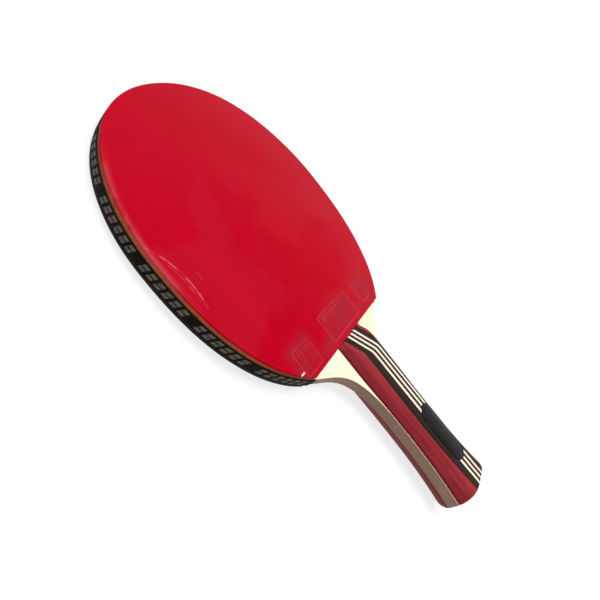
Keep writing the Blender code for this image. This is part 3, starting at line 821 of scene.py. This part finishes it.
def topsheet_group():
    """A smooth topsheet: faint clouds of wear, fine dust, slight ripples and the pimples below.

    The colour goes from the deep one to the plain one where the sheet was wiped.
    """
    inputs = (("Vector", "Vector", None), ("Float", "Gloss", 0.2),
              ("Color", "Plain colour", (0.5, 0.5, 0.5, 1)), ("Color", "Deep colour", (0.4, 0.4, 0.4, 1)))
    outputs = (("Color", "Color"), ("Float", "Roughness"), ("Float", "Height"))
    tree, given, out = new_group("topsheet", inputs, outputs)
    place, gloss = given.outputs["Vector"], given.outputs["Gloss"]
    wiped = ramped(tree, noise(tree, mapped(tree, place, (1, 0.35, 1), 0.5), 46.0, 3.0), 0.3, 0.7)
    dust = ramped(tree, noise(tree, place, 2600.0), 0.68, 0.8)
    base = mixed(tree, wiped, given.outputs["Deep colour"], given.outputs["Plain colour"])
    base = mixed(tree, times(tree, dust, 0.06), base, linear(215, 150, 150))
    clear, dull = maths(tree, "ADD", gloss, -0.03), maths(tree, "ADD", gloss, 0.08)
    clouds = ramped(tree, noise(tree, place, 22.0), 0.3, 0.75, clear, dull)
    rough = maths(tree, "ADD", clouds, times(tree, dust, 0.2))
    ripple = noise(tree, place, 30.0, 0.0)
    pimples = noise(tree, place, 520.0, 1.0)
    height = maths(tree, "ADD", ripple, times(tree, pimples, 0.04))
    set_inputs(tree, out, {"Color": base, "Roughness": rough, "Height": height})
    return tree


def rubber_finish(name, group, colour, deep, gloss, worn=None):
    """The worn colour, where given, is the one of handled patches near the grip.

    All the marks of play come with it, and the painted sheen, highlights and glint.
    """
    made, tree, shader = new_finish(name, Roughness=gloss, Specular_IOR_Level=0.02)
    place = own_place(tree)
    inputs = {"Vector": place, "Gloss": gloss, "Plain colour": linear(*colour),
              "Deep colour": linear(*deep)}
    base, rough, height = add_node(tree, "Group", inputs, node_tree=group).outputs
    if worn:
        base, handled = marks_and_painted_sheen(tree, place, base, worn)
        rough = maths(tree, "ADD", rough, times(tree, handled, 0.16))
    set_inputs(tree, shader, {"Base Color": base, "Roughness": rough})
    add_bump(tree, shader, height, 0.15, 1.0 * MM)
    return made


def sponge_group():
    """Open-cell sponge at its cut edge: round pores that are deeper and painted darker with the shade
    inside them, and stains.
    """
    inputs = (("Vector", "Vector", None), ("Color", "Sponge", (0.5, 0.4, 0.3, 1)),
              ("Color", "Dark", (0.1, 0.1, 0.1, 1)))
    tree, given, out = new_group("sponge cells", inputs, (("Color", "Color"), ("Float", "Height")))
    place, dark = given.outputs["Vector"], given.outputs["Dark"]
    cells = add_node(tree, "TexVoronoi", {"Vector": place, "Scale": 2600.0}).outputs["Distance"]
    pores = ramped(tree, cells, 0.45, 0.15)
    stains = ramped(tree, noise(tree, place, 300.0, 3.0), 0.4, 0.7, 0.0, 0.35)
    # Painted shade inside the pores.
    base = mixed(tree, times(tree, pores, 0.7), given.outputs["Sponge"], dark)
    base = mixed(tree, stains, base, dark)
    set_inputs(tree, out, {"Color": base, "Height": maths(tree, "SUBTRACT", 1.0, pores)})
    return tree


def sponge_finish(name, group, colour, dark):
    made, tree, shader = new_finish(name, Roughness=0.85, Specular_IOR_Level=0.25)
    inputs = {"Vector": own_place(tree), "Sponge": linear(*colour), "Dark": linear(*dark)}
    base, height = add_node(tree, "Group", inputs, node_tree=group).outputs
    set_inputs(tree, shader, {"Base Color": base})
    add_bump(tree, shader, height, 0.5, 0.2 * MM)
    return made


# Tape and badge

def tape_finish():
    """Woven tape: fine ribs across it, threads along it, and groups of slanted double bars."""
    made, tree, shader = new_finish("woven tape", Roughness=0.6, Specular_IOR_Level=0.02)
    uv = add_node(tree, "UVMap", uv_map="along").outputs[0]
    u, v, _ = parts_of(tree, uv)
    ribs = maths(tree, "SINE", times(tree, u, 2 * math.pi / RIB_PITCH))
    threads = maths(tree, "SINE", times(tree, v, 2 * math.pi / THREAD_PITCH))
    weave = times(tree, ribs, threads)
    slanted = maths(tree, "ADD", u, times(tree, v, MARK_SLANT))
    beat = maths(tree, "FRACT", maths(tree, "DIVIDE", slanted, MARK_STEP))
    bars = times(tree, ramped(tree, beat, 0.1, 0.14), ramped(tree, beat, 0.78, 0.74))
    high = size_of(tree, maths(tree, "SUBTRACT", v, MARKS_V))
    rows = times(tree, ramped(tree, high, *MARK_OUTER), ramped(tree, high, *MARK_INNER))
    groups = maths(tree, "FRACT", maths(tree, "DIVIDE", slanted, MARKS_IN_GROUP * MARK_STEP))
    shown = maths(tree, "GREATER_THAN", groups, 1 / MARKS_IN_GROUP)
    worn = ramped(tree, noise(tree, uv, 900.0, 3.0), 0.3, 0.46)
    marks = times(tree, times(tree, bars, rows), times(tree, shown, worn))
    patches = ramped(tree, noise(tree, uv, 160.0), 0.35, 0.65)
    base = mixed(tree, patches, linear(24, 18, 15), linear(38, 31, 27))
    base = mixed(tree, ramped(tree, weave, 0.2, 1.0, 0.0, 0.3), base, linear(54, 47, 42))
    base = mixed(tree, times(tree, marks, 0.92), base, linear(134, 127, 117))
    set_inputs(tree, shader, {"Base Color": base})
    add_bump(tree, shader, weave, 0.5, 0.08 * MM)
    return made


def badge_finish():
    """Polished black plastic with smoky patches and hairline scratches along it."""
    made, tree, shader = new_finish("polished black badge", Roughness=0.12, Specular_IOR_Level=0.06)
    place = own_place(tree)
    scratches = ramped(tree, noise(tree, mapped(tree, place, (1, 0.04, 1), 0.06), 3000.0), 0.66, 0.74)
    smoke = noise(tree, place, 140.0, 3.0)
    base = mixed(tree, smoke, linear(24, 22, 25), linear(36, 33, 36))
    base = mixed(tree, times(tree, scratches, 0.15), base, linear(120, 118, 122))
    rough = maths(tree, "ADD", ramped(tree, smoke, 0.4, 0.7, 0.08, 0.16), times(tree, scratches, 0.2))
    set_inputs(tree, shader, {"Base Color": base, "Roughness": rough})
    add_bump(tree, shader, scratches, 0.06, 0.05 * MM)
    return made


def all_finishes():
    """Every finish by its slot, and the rubbed red of the raised frames, paler also as a painted highlight
    on their crests.
    """
    sheet, sponge, grain = topsheet_group(), sponge_group(), grain_group()
    finishes = {
        "red_rubber": rubber_finish("red playing rubber", sheet, (190, 0, 31), (184, 0, 28), 0.2,
                                    worn=(158, 38, 54)),
        # Paler rubber for the frames: partly rubbed wear, partly a painted highlight.
        "rubbed_and_highlit_rubber": rubber_finish("rubbed red rubber with painted highlight", sheet, (200, 56, 74), (178, 36, 54), 0.3),
        "black_rubber": rubber_finish("black playing rubber", sheet, (34, 34, 36), (24, 24, 26), 0.24),
        "orange_sponge": sponge_finish("orange sponge", sponge, (180, 94, 50), (108, 52, 32)),
        "black_sponge": sponge_finish("black sponge", sponge, (42, 40, 39), (18, 17, 17)),
        "tape": tape_finish(),
        "badge": badge_finish(),
    }
    bare = {"scale": 700.0, "Roughness": 0.6}
    # The low setting gives the red strips painted shade in their corner with the blade.
    lacquer = {"low": 0.75, "Roughness": 0.42, "Specular_IOR_Level": 0.05}
    matt = {"Roughness": 0.6, "Specular_IOR_Level": 0.03}
    face = {"scale": 700.0, "pores": 0.25, "edge": (176, 140, 117), "Roughness": 0.5,
            "Specular_IOR_Level": 0.3}
    woods = (
        ("pale_veneer", "pale face veneer", (252, 249, 222), (245, 238, 204), (224, 208, 170), face),
        ("tan_veneer", "tan cross veneer", (174, 138, 115), (155, 122, 101), (116, 88, 70),
         {**bare, "pores": 0.3, "along": "x"}),
        ("core_wood", "core wood", (177, 142, 119), (161, 128, 107), (124, 94, 76),
         {**bare, "pores": 0.3, "scale": 500.0}),
        ("red_veneer", "dyed red veneer", (172, 56, 63), (135, 38, 46), (78, 18, 22), lacquer),
        ("dark_veneer", "dyed dark veneer", (57, 48, 41), (38, 30, 26), (22, 17, 15), matt),
        ("cream_veneer", "cream veneer", (255, 243, 226), (245, 226, 200), (202, 170, 134),
         {**matt, "pores": 0.35}))
    for slot, name, early, late, pore, settings in woods:
        finishes[slot] = wood_finish(name, grain, early, late, pore, **settings)
    return finishes


# Studio

def background_rays(tree):
    """1 for the rays that see the white background: camera, glossy and transmission rays."""
    rays = add_node(tree, "LightPath").outputs
    seen = highest(tree, rays["Is Camera Ray"], rays["Is Transmission Ray"])
    return highest(tree, seen, rays["Is Glossy Ray"])


def matt_shader(tree, grey):
    return add_node(tree, "BsdfDiffuse", {"Color": (grey, grey, grey, 1)}).outputs[0]


def white_light(tree, kind, strength):
    """White that shines by itself, as an emission or a background shader."""
    return add_node(tree, kind, {"Color": (1, 1, 1, 1), "Strength": strength}).outputs[0]


def end_tree(tree, kind, lit, seen):
    """Lit for the rays that light the bat, and seen for those that show the background."""
    either = add_node(tree, "MixShader", {0: background_rays(tree), 1: lit, 2: seen})
    add_node(tree, kind, {"Surface": either.outputs[0]})


def floor_finish():
    """A pale grey in the bat's light, and white with its shadow where it is seen.

    The shadow fades out away from the bat's middle.
    """
    made = bpy.data.materials.new("pale floor")
    made.use_nodes = True
    tree = made.node_tree
    tree.nodes.clear()
    shadowed = add_node(tree, "AddShader", {0: matt_shader(tree, SHADOW_GREY),
                                            1: white_light(tree, "Emission", SHADOW_GLOW)})
    away = vectors(tree, "LENGTH", own_place(tree))["Value"]
    far = ramped(tree, away, SHADOW_FADES, SHADOW_GONE)
    seen = add_node(tree, "MixShader", {0: far, 1: shadowed.outputs[0],
                                        2: white_light(tree, "Emission", WHITE)})
    end_tree(tree, "OutputMaterial", matt_shader(tree, FLOOR_GREY), seen.outputs[0])
    return made


def make_floor():
    """A floor that the bat lies on: it touches the back scale's crest and the head's tip.

    Its slope is the steepest one from the tip to any place along the back scale.
    """
    along = strip_rows()
    slope = ((FACE_Z + scale_top(0.0, along) - RUBBER_Z) / (TIP_Y - along)).max()
    y = np.array([-FLOOR_REACH, FLOOR_REACH])
    z = slope * (y + MIDDLE_Y - TIP_Y) - RUBBER_Z - FLOOR_GAP
    ends = list(zip(y.tolist(), z.tolist()))
    corners = [(-FLOOR_REACH, *ends[0]), (FLOOR_REACH, *ends[0]),
               (FLOOR_REACH, *ends[1]), (-FLOOR_REACH, *ends[1])]
    mesh = bpy.data.meshes.new("studio_floor")
    mesh.from_pydata(corners, [], [(0, 1, 2, 3)])
    mesh.materials.append(floor_finish())
    floor = put_in_scene("studio_floor", mesh)


def make_lights():
    """Softboxes that face the bat's middle."""
    for name, size, power, place in LAMPS:
        data = bpy.data.lights.new(name, "AREA")
        data.shape = "RECTANGLE"
        data.size, data.size_y = size
        data.energy = power
        lamp = put_in_scene(name, data)
        lamp.location = place
        lamp.rotation_euler = (Vector(LAMP_TARGET) - Vector(place)).to_track_quat("-Z", "Y").to_euler()


def make_room():
    world = bpy.data.worlds.new("studio")
    world.use_nodes = True
    tree = world.node_tree
    tree.nodes.clear()
    lit = white_light(tree, "Background", ROOM_LIGHT)
    end_tree(tree, "OutputWorld", lit, white_light(tree, "Background", WHITE))
    bpy.context.scene.world = world


def make_camera():
    """Placed where the photograph's perspective puts it, from the bat's own known outline.

    The turn leads to a view along +z with y down, and the camera looks along -z with y up.
    """
    data = bpy.data.cameras.new("camera")
    data.sensor_width, data.lens = CAMERA_SENSOR, CAMERA_LENS
    data.shift_x, data.shift_y = CAMERA_SHIFT
    data.clip_start = CAMERA_NEAR
    angle = np.linalg.norm(CAMERA_TURN)
    world_to_view = np.array(Matrix.Rotation(angle, 3, (CAMERA_TURN / angle).tolist()))
    axes = world_to_view.T @ np.diag([1, -1, -1])
    placed = Matrix(axes.tolist()).to_4x4()
    placed.translation = CAMERA_PLACE - [0, MIDDLE_Y, 0]
    camera = put_in_scene("camera", data)
    camera.matrix_world = placed
    bpy.context.scene.camera = camera


finishes = all_finishes()
make_blade(finishes)
make_rubbers(finishes)
make_pressed_frames(finishes["rubbed_and_highlit_rubber"])
make_tape(finishes["tape"])
make_scales(finishes)
make_badge(finishes["badge"])
make_floor()
make_lights()
make_room()
make_camera()
bpy.context.scene.view_settings.view_transform = "Standard"
